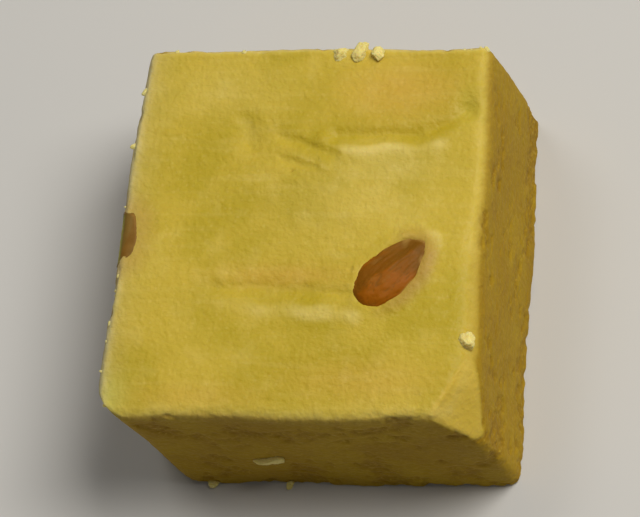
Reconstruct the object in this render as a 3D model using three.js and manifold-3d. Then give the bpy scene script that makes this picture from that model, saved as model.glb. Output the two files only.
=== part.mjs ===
// Pistachio barfi: one square of yellow-green milk fudge, cut with a knife, with pistachio kernels set in it.
// Millimetres. +X is right, +Y is back and +Z is up. The origin is the middle of the base.

import * as THREE from "three";
import { mergeVertices } from "three/addons/utils/BufferGeometryUtils.js";
import Module from "manifold-3d";

const wasm = await Module();
wasm.setup();

// Driving dimensions of the block. The cuts aren't parallel, so the back is narrower than the front.
const FRONT_WIDTH = 42.9;
const BACK_WIDTH = 40.2;
const BACK_SHIFT = -0.35;
const DEPTH = 43.8;
const HEIGHT = 22;
const EDGE_RADIUS = 1.3;

// How far the soft sides stand out near the base, and how far each cut wanders from straight.
const BASE_SPREAD = 0.4;
const CUT_WANDER = 0.12;
const CUT_WAVELENGTH = 23;

// The slab is made this much too thick, and the rest is cut off so that the base is flat.
const BASE_TRIM = 1.5;

// Grid lines of the block's faces. Crowding 1 spaces them evenly, and less draws them towards the edges.
const GRID_WIDE = 34;
const GRID_DEEP = 34;
const GRID_HIGH = 12;
const EDGE_CROWDING = 0.55;

// The spread top: a low crown and two slow swells. Its relief fades out below this share of the height.
const RELIEF_START = 0.6;
const CROWN = 0.3;
const SWELLS = [
  { wavelength: 26, direction: 0.5, height: 0.16 },
  { wavelength: 17, direction: 2.1, height: 0.1 },
];

// Slanted facets on the front corners and along the right edge of the top. Each has its reach at the top,
// along the front edge and along the side edge, and the share of it that is lost with each millimetre down.
// The left corner's facet grows downwards.
const FACETS = [
  { side: 1, alongFront: 5.0, alongSide: 8.9, fade: 0.125, softness: 1.1 },
  { side: 1, alongFront: 2.2, alongSide: 54, fade: 0.4, softness: 1.2 },
  { side: -1, alongFront: 2.8, alongSide: 2.8, fade: -0.044, softness: 0.9 },
];

// Spatula marks on the top: a trough with a lip of paste on its front side.
// Bend is how far the middle of a mark bows to the back, and a mark of no depth is a lip alone.
const SPATULA_MARKS = [
  { from: [-8.9, -6.7], to: [6.4, -7.7], bend: 0.2, depth: 0.25, width: 1, lip: 0.03 },
  { from: [-7.6, -7.5], to: [7.4, -8.7], bend: 0, depth: 0, width: 1.9, lip: 0.14 },
  { from: [3.6, 10.9], to: [13.0, 11.3], bend: 0, depth: 0.38, width: 0.9, lip: 0.06 },
  { from: [14.8, 11.9], to: [18.4, 14.2], bend: -0.3, depth: 0.28, width: 0.8, lip: 0.04 },
  { from: [1.6, 11.1], to: [15.4, 11.4], bend: -0.3, depth: 0, width: 2, lip: 0.15 },
  { from: [-3.2, 11.2], to: [3.3, 8.6], bend: -0.2, depth: 0.28, width: 0.7, lip: 0.11 },
];
const LIP_OFFSET = 1.7;

// Small hollows in the top.
const DENTS = [
  { at: [-7.9, 12.7], radius: 1.3, depth: 0.34 },
  { at: [-7.0, 10.6], radius: 1.4, depth: 0.34 },
  { at: [19.3, 14.3], radius: 1.3, depth: 0.5 },
];

// Kernels: middle, turn about +Z, roll about their own length, size, and whether the knife cut them flush.
const KERNELS = [
  {
    name: "pistachio_top",
    middle: [11.2, -4.6, HEIGHT - 1.9],
    turn: THREE.MathUtils.degToRad(46),
    roll: THREE.MathUtils.degToRad(-20),
    size: [12, 7, 6.4],
    cutFlush: false,
  },
  {
    name: "pistachio_left_edge",
    middle: [-20.4, -0.8, HEIGHT - 1.3],
    turn: THREE.MathUtils.degToRad(78),
    roll: THREE.MathUtils.degToRad(35),
    size: [6.8, 4.4, 4.4],
    cutFlush: true,
  },
];
const KERNEL_TAPER = 0.2;
const KERNEL_BLUNTNESS = 0.72;
const KERNEL_SEAM_DEPTH = 0.1;
const KERNEL_SEAM_WIDTH = 0.3;
const KERNEL_SIDES = 24;
const KERNEL_RINGS = 14;
const SOCKET_GAP = 0.3;

// Crumbs stuck to the paste: middle and size. They lie on the back edge, the right edge and the front face.
const CRUMBS = [
  { middle: [2.4, 20.9, HEIGHT - 0.4], size: [1.9, 1.6, 1.3] },
  { middle: [4.6, 21.3, HEIGHT - 0.6], size: [2.4, 1.9, 1.6] },
  { middle: [6.6, 20.9, HEIGHT - 0.5], size: [1.7, 1.5, 1.4] },
  { middle: [20.1, -12.7, HEIGHT - 0.8], size: [1.7, 2.1, 1.5] },
  { middle: [-4.8, -22.2, 8.6], size: [3.4, 1.3, 1.5] },
];
const CRUMB_DETAIL = 1;
const CRUMB_LUMPINESS = 0.16;
const CRUMB_LUMPS = 4.3;

const PASTE = new THREE.MeshStandardMaterial({ color: 0xc4ab4c, roughness: 0.6, metalness: 0 });
const KERNEL_SKIN = new THREE.MeshStandardMaterial({ color: 0x7a4416, roughness: 0.5, metalness: 0 });

// A closed geometry with one vertex at each point, so that it can be cut.
function welded(geometry) {
  geometry.deleteAttribute("normal");
  geometry.deleteAttribute("uv");
  return mergeVertices(geometry);
}

function solidOf(geometry) {
  const vertProperties = new Float32Array(geometry.attributes.position.array);
  const triVerts = new Uint32Array(geometry.index.array);
  return new wasm.Manifold(new wasm.Mesh({ numProp: 3, vertProperties, triVerts }));
}

function geometryOf(solid) {
  const mesh = solid.getMesh();
  const geometry = new THREE.BufferGeometry();
  geometry.setAttribute("position", new THREE.BufferAttribute(mesh.vertProperties, 3));
  geometry.setIndex(new THREE.BufferAttribute(mesh.triVerts, 1));
  geometry.computeVertexNormals();
  return geometry;
}

// Moves every vertex of a geometry by a function that changes its point in place.
function reshape(geometry, move) {
  const positions = geometry.attributes.position;
  const point = new THREE.Vector3();
  for (let i = 0; i < positions.count; i += 1) {
    point.fromBufferAttribute(positions, i);
    move(point);
    positions.setXYZ(i, point.x, point.y, point.z);
  }
  return geometry;
}

function bell(distance, width) {
  return Math.exp(-((distance / width) ** 2));
}

// The lower of a distance and zero, with a rounded change between them.
function softLimit(distance, softness) {
  if (distance < -softness) return distance;
  if (distance > softness) return 0;
  return -((softness - distance) ** 2) / (4 * softness);
}

// Draws a grid line at -1 to 1 towards the ends.
function crowd(place) {
  return EDGE_CROWDING * place + (1 - EDGE_CROWDING) * Math.sin((place * Math.PI) / 2);
}

// A point of the unit cube becomes one on a box with rounded edges, too deep by the trim.
function roundedBox(point) {
  const half = new THREE.Vector3(FRONT_WIDTH / 2, DEPTH / 2, (HEIGHT + BASE_TRIM) / 2);
  const reach = half.clone().subScalar(EDGE_RADIUS);
  point.set(crowd(point.x), crowd(point.y), crowd(point.z)).multiply(half);
  const inner = point.clone().clamp(reach.clone().negate(), reach);
  point.sub(inner).setLength(EDGE_RADIUS).add(inner);
  point.z += HEIGHT - half.z;
}

// How far a point of the top lies above the flat cut height.
function topRelief(x, y) {
  const across = x / (FRONT_WIDTH / 2);
  const along = y / (DEPTH / 2);
  let height = CROWN * ((1 - across ** 2) * (1 - along ** 2) - 1);
  for (const swell of SWELLS) {
    const phase = x * Math.cos(swell.direction) + y * Math.sin(swell.direction);
    height += swell.height * Math.sin((2 * Math.PI * phase) / swell.wavelength);
  }
  for (const mark of SPATULA_MARKS) height += markRelief(mark, x, y);
  for (const dent of DENTS) {
    const away = Math.hypot(x - dent.at[0], y - dent.at[1]);
    height -= dent.depth * bell(away, dent.radius);
  }
  return height;
}

function markRelief(mark, x, y) {
  const run = new THREE.Vector2(mark.to[0] - mark.from[0], mark.to[1] - mark.from[1]);
  const length = run.length();
  run.divideScalar(length);
  const offset = new THREE.Vector2(x - mark.from[0], y - mark.from[1]);
  const along = offset.dot(run);
  const share = THREE.MathUtils.clamp(along / length, 0, 1);
  const overrun = along - share * length;
  const across = run.cross(offset) - mark.bend * 4 * share * (1 - share);
  const trough = -mark.depth * bell(across, mark.width);
  const lip = mark.lip * bell(across + LIP_OFFSET, mark.width);
  return (trough + lip) * bell(overrun, mark.width);
}

// Presses a point that lies beyond a corner's slanted facet back onto the facet.
function pressFacet(point, facet) {
  const slope = new THREE.Vector3(facet.side / facet.alongFront, -1 / facet.alongSide, facet.fade);
  const inFront = (FRONT_WIDTH / 2 - facet.side * point.x) / facet.alongFront;
  const inSide = (DEPTH / 2 + point.y) / facet.alongSide;
  const reached = 1 - facet.fade * (HEIGHT - point.z);
  const beyond = (reached - inFront - inSide) / slope.length();
  point.addScaledVector(slope.normalize(), softLimit(beyond, facet.softness) - beyond);
}

function shapeBlock(point) {
  roundedBox(point);
  const rise = point.z / HEIGHT;
  const farness = point.y / DEPTH + 0.5;
  const wander = CUT_WANDER * Math.sin((2 * Math.PI * (point.y + point.z)) / CUT_WAVELENGTH);
  const sway = CUT_WANDER * Math.sin((2 * Math.PI * (point.x - point.z)) / CUT_WAVELENGTH);
  point.z += topRelief(point.x, point.y) * THREE.MathUtils.smoothstep(rise, RELIEF_START, 1);
  for (const facet of FACETS) pressFacet(point, facet);
  const spread = 1 + (BASE_SPREAD * (1 - rise)) / (FRONT_WIDTH / 2);
  point.x *= THREE.MathUtils.lerp(1, BACK_WIDTH / FRONT_WIDTH, farness) * spread;
  point.x += BACK_SHIFT * farness + wander * (point.x / FRONT_WIDTH) * 2;
  point.y = point.y * spread + sway * (point.y / DEPTH) * 2;
}

function blockSolid() {
  const slab = welded(new THREE.BoxGeometry(2, 2, 2, GRID_WIDE, GRID_DEEP, GRID_HIGH));
  const trimming = welded(new THREE.BoxGeometry(2 * FRONT_WIDTH, 2 * DEPTH, 2 * BASE_TRIM));
  trimming.translate(0, 0, -BASE_TRIM);
  return solidOf(reshape(slab, shapeBlock)).subtract(solidOf(trimming));
}

// A kernel lies along X: blunt, narrower towards +X, with a seam along the top where its halves meet.
function kernelSolid(kernel, grown) {
  const ball = new THREE.SphereGeometry(1, KERNEL_SIDES, KERNEL_RINGS);
  ball.rotateZ(-Math.PI / 2);
  const geometry = reshape(welded(ball), (point) => {
    const girth = Math.hypot(point.y, point.z);
    const fullness = girth > 0 ? (girth ** KERNEL_BLUNTNESS / girth) * (1 - KERNEL_TAPER * point.x) : 1;
    const seam = 1 - KERNEL_SEAM_DEPTH * bell(Math.atan2(point.y, point.z), KERNEL_SEAM_WIDTH);
    point.y *= fullness * seam;
    point.z *= fullness * seam;
  });
  geometry.scale(...kernel.size.map((side) => side / 2 + grown));
  geometry.rotateX(kernel.roll);
  geometry.rotateZ(kernel.turn);
  geometry.translate(...kernel.middle);
  return solidOf(geometry);
}

function crumbSolid(crumb) {
  const geometry = reshape(welded(new THREE.IcosahedronGeometry(1, CRUMB_DETAIL)), (point) => {
    const wave = Math.sin(CRUMB_LUMPS * (point.x + crumb.middle[0]));
    const counterwave = Math.cos(CRUMB_LUMPS * (point.y - point.z));
    point.multiplyScalar(1 + (CRUMB_LUMPINESS * (wave + counterwave)) / 2);
  });
  geometry.scale(...crumb.size.map((side) => side / 2));
  geometry.translate(...crumb.middle);
  return solidOf(geometry);
}

function namedMesh(name, solid, material) {
  const mesh = new THREE.Mesh(geometryOf(solid), material);
  mesh.name = name;
  return mesh;
}

const barfi = new THREE.Group();
const wholeBlock = blockSolid();
let block = wholeBlock;
for (const crumb of CRUMBS) block = block.add(crumbSolid(crumb));
for (const kernel of KERNELS) {
  const body = kernelSolid(kernel, 0);
  block = block.subtract(kernelSolid(kernel, SOCKET_GAP));
  barfi.add(namedMesh(kernel.name, kernel.cutFlush ? body.intersect(wholeBlock) : body, KERNEL_SKIN));
}
barfi.add(namedMesh("barfi_block", block, PASTE));

export default barfi;
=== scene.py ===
"""Pistachio barfi: the surface, finish and studio of one cut piece, laid out as a Blender add-on.

Lengths are metres. +X is right, +Y is back and +Z is up, and the piece stands on Z = 0.
"""

import math
import random
from typing import NamedTuple

import bmesh
import bpy
from bpy.props import FloatProperty, FloatVectorProperty, IntProperty, PointerProperty
from mathutils import Matrix, Vector, noise
from mathutils.bvhtree import BVHTree


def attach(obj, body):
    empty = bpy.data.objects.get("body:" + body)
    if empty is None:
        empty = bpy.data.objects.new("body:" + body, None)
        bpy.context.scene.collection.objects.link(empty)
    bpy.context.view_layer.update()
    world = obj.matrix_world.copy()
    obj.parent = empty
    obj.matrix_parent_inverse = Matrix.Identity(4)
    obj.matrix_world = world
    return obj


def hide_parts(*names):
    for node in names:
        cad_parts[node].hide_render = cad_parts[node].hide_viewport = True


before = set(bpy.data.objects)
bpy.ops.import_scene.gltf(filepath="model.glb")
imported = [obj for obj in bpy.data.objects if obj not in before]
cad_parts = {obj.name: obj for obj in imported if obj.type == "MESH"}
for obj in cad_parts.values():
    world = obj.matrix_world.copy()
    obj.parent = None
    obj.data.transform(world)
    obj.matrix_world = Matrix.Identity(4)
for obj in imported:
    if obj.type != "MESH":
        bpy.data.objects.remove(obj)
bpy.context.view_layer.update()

bl_info = {
    "name": "Pistachio Barfi",
    "version": (1, 0, 0),
    "blender": (4, 5, 0),
    "location": "3D View > Sidebar > Barfi",
    "description": "Models one cut piece of pistachio barfi and the studio that it stands in",
    "category": "Add Mesh",
}

MM = 0.001
EVENLY = (1.0, 1.0, 1.0)

# Spreads the draws that open or close the pits of neighbouring cells
PIT_DRAW = 7.3


def srgb(red, green, blue):
    """A colour given as eight-bit sRGB, as the linear numbers that Blender uses."""
    shares = (red / 255, green / 255, blue / 255)
    return tuple(s / 12.92 if s <= 0.04045 else ((s + 0.055) / 1.055) ** 2.4 for s in shares)


def mm(*lengths):
    """Lengths given in millimetres, in metres."""
    return [value * MM for value in lengths]


def clamp(value, low, high):
    return max(low, min(high, value))


def mix(first, second, share):
    return first + (second - first) * share


def smoothstep(low, high, value):
    share = clamp((value - low) / (high - low), 0.0, 1.0)
    return share * share * (3 - 2 * share)


def bell(distance, width):
    return math.exp(-((distance / width) ** 2))


class Facet(NamedTuple):
    """A slanted facet on the top's right or left edge, with its reach along the front and the side.

    Fade is the share of that reach that is lost with each metre down, and paleness is how pale it is
    painted: partly pressed, drier paste and partly painted highlight where a facet faces the light.
    """

    side: int
    along_front: float
    along_side: float
    fade: float
    softness: float
    paleness: float


class Swell(NamedTuple):
    """One slow wave of the spread top."""

    wavelength: float
    direction: float
    height: float


class SpatulaMark(NamedTuple):
    """A trough that the spatula drew in the top, with a lip of paste on its front side."""

    start: tuple
    end: tuple
    bend: float
    depth: float
    width: float
    lip: float


class Dent(NamedTuple):
    """A small round hollow in the top, or a bump where its depth is negative."""

    x: float
    y: float
    radius: float
    depth: float


class Ripple(NamedTuple):
    """Smooth noise: its swing about zero, the size of its features, its shift and its stretch."""

    swing: float
    size: float
    shift: float = 0.0
    stretch: tuple = EVENLY

    def at(self, point):
        place = [c / (self.size * s) + self.shift for c, s in zip(point, self.stretch)]
        return self.swing * noise.noise(Vector(place))


class Pits(NamedTuple):
    """Round pits: their depth, how far apart they lie, their radius and the share that is open."""

    depth: float
    spacing: float
    radius: float
    share: float

    def at(self, point):
        distances, places = noise.voronoi(point / self.spacing)
        if abs(noise.cell(places[0] * PIT_DRAW)) > self.share:
            return 0.0
        return self.depth * max(0.0, 1 - distances[0] * self.spacing / self.radius) ** 2


class Rim(NamedTuple):
    """How pale or greyish an edge of the block is painted, and how far from it that reaches: the pale
    rims are partly drier paste and partly painted highlight, the greyish left one is painted highlight.
    """

    strength: float
    reach: float

    def at(self, distance):
        return self.strength * bell(distance, self.reach)


class Kernel(NamedTuple):
    """A kernel's middle, its turn about +Z, its roll about its own length, its size and its paste lip.

    Dullness is how far its skin has lost its colour.
    """

    name: str
    middle: Vector
    turn: float
    roll: float
    size: Vector
    lip: float
    dullness: float
    cut_flush: bool


class SkinFolds(NamedTuple):
    """Noise on a kernel's skin: its turns along and round it, its relief, crease and shift."""

    along: float
    around: float
    relief: float
    crease: float
    shift: tuple = (0.0, 0.0, 0.0)

    def at(self, unit):
        turns = Vector((unit.x * self.along, unit.y * self.around, unit.z * self.around))
        return noise.noise(turns + Vector(self.shift))


class Socket(NamedTuple):
    """A kernel with the tree of its uncut surface, and the turn into the kernel's own axes."""

    kernel: Kernel
    surface: BVHTree
    turned: Matrix


class Crumb(NamedTuple):
    """A crumb's middle, its size and its turn about +Z."""

    middle: Vector
    size: Vector
    turn: float


class TonePatch(NamedTuple):
    """A soft patch of another tone on the top."""

    x: float
    y: float
    width: float
    depth: float
    strength: float


class Texture(NamedTuple):
    """A pattern of a finish: the size of its features, its detail, its shift and its stretch."""

    size: float
    detail: float = 2.0
    shift: float = 0.0
    stretch: tuple = EVENLY


class Mask(NamedTuple):
    """Where a pattern starts to show, where it shows fully, and the share that it then has."""

    low: float
    high: float
    share: float = 1.0


class Lamp(NamedTuple):
    """A soft light's place, width and tint. The stage has its power under the same name."""

    name: str
    place: Vector
    width: float
    tint: tuple


HEIGHT = 22.0 * MM

# The knife's facets and the marks of the spread top, in the same places as on the solids
FACETS = (
    Facet(1, 5.0 * MM, 8.9 * MM, 0.125 / MM, 1.1 * MM, 1.0),
    Facet(1, 2.2 * MM, 54.0 * MM, 0.4 / MM, 1.2 * MM, 0.4),
    Facet(-1, 2.8 * MM, 2.8 * MM, -0.044 / MM, 0.9 * MM, 0.1),
)
FACET_EDGE = (-0.2 * MM, 0.5 * MM)
SWELLS = (
    Swell(26.0 * MM, 0.5, 0.16 * MM),
    Swell(17.0 * MM, 2.1, 0.10 * MM),
)
SPATULA_MARKS = (
    SpatulaMark(mm(-8.9, -6.7), mm(6.4, -7.7), *mm(0.2, 0.25, 1.0, 0.03)),
    SpatulaMark(mm(-7.6, -7.5), mm(7.4, -8.7), *mm(0.0, 0.0, 1.9, 0.14)),
    SpatulaMark(mm(3.6, 10.9), mm(13.0, 11.3), *mm(0.0, 0.38, 0.9, 0.06)),
    SpatulaMark(mm(14.8, 11.9), mm(18.4, 14.2), *mm(-0.3, 0.28, 0.8, 0.04)),
    SpatulaMark(mm(1.6, 11.1), mm(15.4, 11.4), *mm(-0.3, 0.0, 2.0, 0.15)),
    SpatulaMark(mm(-3.2, 11.2), mm(3.3, 8.6), *mm(-0.2, 0.28, 0.7, 0.11)),
    SpatulaMark(mm(-3.0, 8.8), mm(1.3, 7.2), *mm(-0.35, 0.22, 0.5, 0.06)),
)
MARK_WANDER = Ripple(0.35 * MM, 2.4 * MM, 6.6)
TROUGH_SHARE = 0.75
COMB_LINES = Ripple(0.3, 4.0 * MM, 2.2)
COMB_FINENESS = 9
LIP_OFFSET = 1.7 * MM
LIP_SHARE = 0.65
LIP_GROWTH = (0.8, 1.12)
LIP_FULLNESS = 0.85
LIP_RAGGEDNESS = Ripple(0.45, 3.1 * MM, 1.3)
DENTS = (
    Dent(*mm(-7.9, 12.7, 1.3, 0.34)),
    Dent(*mm(-7.0, 10.6, 1.4, 0.34)),
    Dent(*mm(19.3, 14.3, 1.3, 0.50)),
    Dent(*mm(1.9, 10.6, 0.8, -0.28)),
    Dent(*mm(-8.4, -6.2, 0.9, -0.22)),
    Dent(*mm(6.5, 1.2, 1.0, -0.14)),
)
CROWN = 0.3 * MM
BURR_HEIGHT = 0.2 * MM
BURR_INSET = 0.75 * MM
BURR_WIDTH = 0.4 * MM
BURR_FULLNESS = 0.7
BURR_RAGGEDNESS = Ripple(0.8, 2.7 * MM, 3.8)
RELIEF_START = 0.6
BACK_SHIFT = -0.35 * MM
BASE_SPREAD = 0.4 * MM
BASE_RADIUS = 0.35 * MM
CUT_WANDER = 0.12 * MM
CUT_WAVELENGTH = 23.0 * MM

# Cells of the block's grid along its width, depth and height, and how evenly they are spaced
GRID_CELLS = (170, 170, 88)
GRID_EVENNESS = 0.8

# Pale rims of the block: partly drier paste and partly painted highlight along the edges, with a wider
# band of painted highlight along the front and a pale line of painted light along the base. The greyish
# painted highlight along the left edge reaches less far down than inwards
LEFT_RIM = Rim(0.8, 0.8 * MM)
BACK_RIM = Rim(1.0, 0.8 * MM)
RIGHT_RIM = Rim(0.4, 1.6 * MM)
FRONT_RIM = Rim(0.4, 1.3 * MM)
FRONT_HIGHLIGHT = Rim(0.2, 4.0 * MM)
BACK_CORNERS = Rim(0.5, 0.5 * MM)
BASE_RIM = Rim(0.8, 0.4 * MM)
LEFT_EDGE_HIGHLIGHT = Rim(0.8, 1.0 * MM)
LEFT_HIGHLIGHT_VEIL = Rim(0.2, 3.0 * MM)
LEFT_HIGHLIGHT_STEEPNESS = 3

# Fine relief of the paste as a whole, of its rims, of the spread top and of the cut sides
PASTE_RELIEF = (
    Ripple(0.05 * MM, 6.0 * MM),
    Ripple(0.022 * MM, 1.7 * MM, 3.1),
    Ripple(0.011 * MM, 0.75 * MM, 5.7),
)
RIM_LUMPS = Ripple(0.13 * MM, 1.3 * MM, 7.7)
RIM_CHIPS = Ripple(1.0, 1.7 * MM, 5.3)
CHIP_EDGE = (0.25, 0.6)
CHIP_DEPTH = 0.2 * MM
STREAKS = Ripple(0.016 * MM, 1.0 * MM, 1.7, (9.0, 1.0, 1.0))
STREAK_PATCHES = Ripple(1.0, 8.0 * MM, 9.3)
STREAK_EDGE = (-0.2, 0.5)
WRINKLES = Ripple(1.0, 6.5 * MM, 12.1, (1.6, 1.0, 1.0))
WRINKLE_HEIGHT = 0.05 * MM
WRINKLE_WIDTH = 0.04
DRIED_PATCHES = Ripple(1.0, 5.0 * MM, 14.2)
DRIED_EDGE = (0.05, 0.4)
BUBBLES = Pits(0.36 * MM, 3.4 * MM, 0.5 * MM, 0.45)
DRAG_LINES = (
    Ripple(0.03 * MM, 0.7 * MM, 2.3, (1.0, 1.0, 7.0)),
    Ripple(0.025 * MM, 1.3 * MM, 6.1),
)
TEARS = (
    Ripple(0.8, 4.6 * MM, 4.9),
    Ripple(0.6, 1.4 * MM, 3.3),
)
TORN_EDGE = (0.12, 0.45)
TORN_HEIGHT = 7.0 * MM
TORN_BASE = 0.3
TORN_GRAINS = (
    Ripple(0.14 * MM, 0.95 * MM, 8.3),
    Ripple(0.098 * MM, 0.5 * MM, 2.9),
)
TORN_DEPTH = 0.2 * MM
CUT_PITS = Pits(0.3 * MM, 1.9 * MM, 0.45 * MM, 0.45)

# Values that the finishes read, and the slants and scales behind some of them
BLOCK_VALUES = ("rim", "ash", "cut", "torn", "smear", "stain", "pressed", "height")
KERNEL_VALUES = ("along", "dull", "crease", "flesh", "split", "film")
TOP_SLANT = (0.5, 0.85)
TONED_SLANT = (-0.2, 0.6)
# The marks' height, scaled, paints highlights on their lips and shade in their troughs
SMEAR_SCALE = 0.28 * MM
RELIEF_SCALE = 0.2 * MM
RELIEF_LIMIT = 2.0

KERNELS = (
    Kernel(
        "pistachio_top",
        middle=Vector((11.2 * MM, -4.6 * MM, HEIGHT - 1.9 * MM)),
        turn=math.radians(46),
        roll=math.radians(-20),
        size=Vector((12.0, 7.0, 6.4)) * MM,
        lip=0.28 * MM,
        dullness=0.0,
        cut_flush=False,
    ),
    Kernel(
        "pistachio_left_edge",
        middle=Vector((-20.4 * MM, -0.8 * MM, HEIGHT - 1.3 * MM)),
        turn=math.radians(78),
        roll=math.radians(35),
        size=Vector((6.8, 4.4, 4.4)) * MM,
        lip=0.05 * MM,
        dullness=1.0,
        cut_flush=True,
    ),
)
KERNEL_DETAIL = 6
KERNEL_TAPER = 0.2
KERNEL_BLUNTNESS = 0.72
KERNEL_SEAM_DEPTH = 0.1
KERNEL_SEAM_WIDTH = 0.3
KERNEL_SEAM_CREASE = 0.7
FOLDS = SkinFolds(1.3, 4.5, 0.045, 0.9)
FINE_FOLDS = SkinFolds(5.0, 13.0, 0.014, 0.3)
VEINS = SkinFolds(1.6, 8.0, -0.018, 0.5, (7.0, 2.0, 5.0))
VEIN_WIDTH = 0.07
BULK_TURNS = 1.9
BULK_SHIFT = Vector((3.0, 1.0, 2.0))
BULK_RELIEF = 0.07
BULK_LENGTH = 0.02

# The film of paste on a kernel near the top's level, and a painted highlight on one flank in the tint of
# a thin veil of paste
FILM_SHARE = 0.75
FILM_EDGE = (0.45, 0.0)
FILM_HEIGHT = 0.9 * MM
FILM_TILT = 0.2
FILM_RAGGEDNESS = 0.7
FILM_PATCH = 1.6 * MM
KERNEL_HIGHLIGHT_SPOT = Vector((0.38, 0.6, 0.7)).normalized()
KERNEL_HIGHLIGHT_SHARE = 0.55
KERNEL_HIGHLIGHT_WIDTH = 0.34

# The kernel that the knife went through, with its film, its bare flesh and the split between its halves
FLUSH_PROUD = 0.1 * MM
FLUSH_DROP = 0.1 * MM
FLUSH_FARNESS = 0.5
FLUSH_FILM_SHARE = 0.16
FLUSH_FILM_RAGGEDNESS = 0.8
FLUSH_FILM_PATCH = 0.8 * MM
FLESH_DEPTH = 1.2 * MM
FLESH_RELIEF = 0.05 * MM
FLESH_GRAIN = 0.5 * MM
SPLIT_WIDTH = 0.16 * MM
SPLIT_DEPTH = 0.09 * MM

# How the paste closes round a kernel: its socket, its lip, its pale end, partly a lip of paste and
# partly painted highlight, and its stain
SOCKET_REACH = 4.0 * MM
SOCKET_DEPTH = 1.1 * MM
SOCKET_WALL = (-0.12 * MM, -0.8 * MM)
SOCKET_CREEP = Ripple(0.3 * MM, 1.7 * MM, 9.9)
SOCKET_RAGGEDNESS = Ripple(0.5, 1.5 * MM, 4.4)
SOCKET_SMOOTHING = (-0.2 * MM, 1.0 * MM)
FINER_REACH = 0.9 * MM
BED_LIP_WIDTH = 0.75 * MM
BED_LIP_GROWTH = (0.6, 1.3)
BED_LIP_RUN = (-0.5, 0.9)
FAR_END = (0.6, 1.0)
END_LIP_HIGHLIGHT = 0.55
END_LIP_HIGHLIGHT_EDGE = (1.5 * MM, 0.3 * MM)
STAIN_FULLNESS = (0.6, 1.0)
STAIN_REACH = (1.7 * MM, 0.9 * MM)
STAIN_START = 0.1 * MM
STAIN_SIDE = (0.7, -0.6)
STAIN_SIDE_EDGE = (-0.3, 0.7)
STAIN_END_LOSS = 0.75
FLUSH_STAIN = 0.55
FLUSH_STAIN_REACH = 2.8 * MM

CRUMBS = (
    Crumb(Vector(mm(2.4, 20.9, 21.6)), Vector(mm(1.9, 1.6, 1.3)), 0.4),
    Crumb(Vector(mm(4.6, 21.3, 21.4)), Vector(mm(2.4, 1.9, 1.6)), 1.3),
    Crumb(Vector(mm(6.6, 20.9, 21.5)), Vector(mm(1.7, 1.5, 1.4)), 2.2),
    Crumb(Vector(mm(20.1, -12.7, 21.2)), Vector(mm(1.7, 2.1, 1.5)), 0.0),
    Crumb(Vector(mm(-4.8, -22.2, 8.6)), Vector(mm(3.4, 1.3, 1.5)), 0.0),
    Crumb(Vector(mm(-13.7, -22.4, 0.62)), Vector(mm(1.5, 0.9, 0.9)), 0.3),
    Crumb(Vector(mm(-4.7, -22.45, 0.56)), Vector(mm(1.2, 0.8, 0.8)), 1.1),
)
CRUMB_DETAIL = 5
CRUMB_BREAKS = 13
CRUMB_BREAK_REACH = (0.7, 1.0)
CRUMB_BREAK_SLANT = 0.3
CRUMB_REACH = 1.2
CRUMB_SHIFT = 50
CRUMB_LUMPS = {2.3: 0.14, 5.5: 0.09, 12.0: 0.05}
SPECK_DETAIL = 3
SPECK_SEED = 41
SPECK_WEAR = 0.65
SPECK_SLANT = -0.2
SPECK_LEVEL = 3.0 * MM
SPECK_WIDTHS = (0.28 * MM, 0.7 * MM)
SPECK_LENGTHS = (1.0, 1.7)
SPECK_HEIGHTS = (0.5, 0.8)
SPECK_SINK = 0.05

# Patches of the top that are warmer, drier or greener than the rest
TONE_PATCHES = {
    "warmth": (
        TonePatch(*mm(10.0, 16.5, 7.0, 3.6), 1.0),
        TonePatch(*mm(-1.0, -5.4, 7.5, 1.4), 0.9),
        TonePatch(*mm(9.0, -17.5, 9.0, 2.4), 0.6),
        TonePatch(*mm(-10.0, -19.5, 9.0, 1.6), 0.5),
    ),
    "dryness": (
        TonePatch(*mm(-11.0, 16.8, 7.5, 3.4), 0.5),
        TonePatch(*mm(9.5, 7.4, 6.0, 2.4), 1.0),
        TonePatch(*mm(5.0, 4.0, 9.0, 5.0), 0.5),
    ),
    "greenness": (
        TonePatch(*mm(-20.0, -19.5, 2.2, 2.6), 1.0),
        TonePatch(*mm(17.6, 14.6, 1.3, 2.6), 0.4),
    ),
}

# The paste's patterns
DRIFT = Texture(9.0 * MM, 3.0)
MOTTLE = Texture(2.6 * MM, 3.0, 3.0)
SMEAR_STREAK = Texture(1.1 * MM, 2.0, 5.0, (8.0, 1.0, 1.0))
CURD = Texture(0.7 * MM, 2.0, 7.0)
GRAIN = Texture(0.42 * MM, 3.0, 11.0)
CURD_CELLS = Texture(0.5 * MM, shift=13.0)
GRANULES = Texture(0.6 * MM, shift=17.0)
GRANULE_SMOOTHNESS = 0.6

# Where the paste's patterns lay another colour. Troughs, hollows and the gaps between granules get
# painted shade; lips and raised relief get painted highlight
CLOUDS = Mask(0.36, 0.64)
CURD_MIDDLES = Mask(0.55, 0.1)
PALE_CURDS = Mask(0.4, 0.8, 0.12)
PALE_MOTTLE = Mask(0.5, 0.72, 0.12)
PALE_STREAKS = Mask(0.5, 0.75, 0.1)
DRAWN_CLOUDS = Mask(0.35, 0.65, 0.5)
DRAWN_MOTTLE = Mask(0.3, 0.7, 0.3)
GRANULE_GAP_SHADE = Mask(0.3, 0.85)
PALE_GRAINS = Mask(0.5, 0.7)
TROUGH_SHADE = Mask(-0.1, -1.0, 0.35)
LIP_HIGHLIGHTS = Mask(0.05, 0.75)
RAISED_LIGHT = Mask(0.2, 0.7, 0.3)
DRY_AND_HIGHLIT = Mask(0.0, 1.2)
SUNK_SHADE = Mask(-0.3, -1.6, 0.4)

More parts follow.
